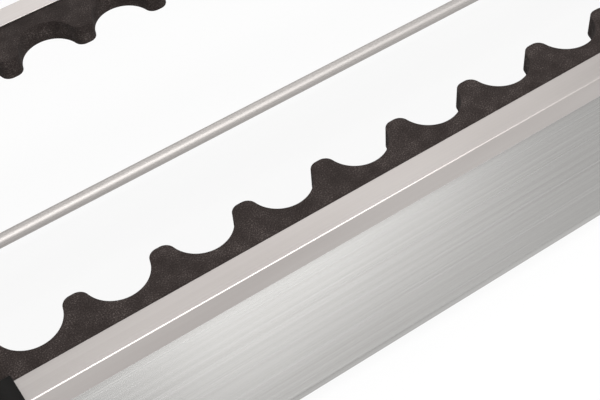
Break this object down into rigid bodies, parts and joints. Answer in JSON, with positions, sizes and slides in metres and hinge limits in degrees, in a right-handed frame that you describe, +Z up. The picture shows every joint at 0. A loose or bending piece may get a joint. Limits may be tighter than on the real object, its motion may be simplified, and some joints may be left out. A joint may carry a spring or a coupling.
{
  "type": "fishing rod rack",
  "caption": "Free-standing rack that holds fishing rods upright in two rows of scalloped foam, with sloped panels for the butts.",
  "frame": {"origin": "centre of the footprint, on the floor", "axes": "+X along the rails, -Y towards the front row of rods, +Z up"},
  "size_m": [0.66, 0.2764, 0.5698],
  "materials": {
    "frame": "satin moulded ABS, black",
    "channel": "satin clear anodised extrusion",
    "foam": "die-cut closed-cell EVA foam, charcoal",
    "panel": "sheet brushed along its length",
    "tube": "satin drawn tube",
    "foot": "matt moulded rubber, black",
    "black_screw": "black oxide steel",
    "screw": "plain zinc-plated steel"
  },
  "bodies": {
    "root": {"end_frame_left": "frame", "end_frame_right": "frame", "lower_channel_front": "channel", "lower_channel_back": "channel", "upper_channel_front": "channel", "upper_channel_back": "channel", "lower_foam_front": "foam", "lower_foam_back": "foam", "upper_foam_front": "foam", "upper_foam_back": "foam", "base_panel_front": "panel", "base_panel_back": "panel", "tie_tube": "tube", "tube_plug_left": "screw", "tube_plug_right": "screw", "tube_screw_left": "black_screw", "tube_screw_right": "black_screw", "foot_front_left": "foot", "foot_front_right": "foot", "foot_back_left": "foot", "foot_back_right": "foot", "socket_screws_left": "black_screw", "socket_screws_right": "black_screw", "panel_screws_left": "screw", "panel_screws_right": "screw"}
  },
  "joints": []
}
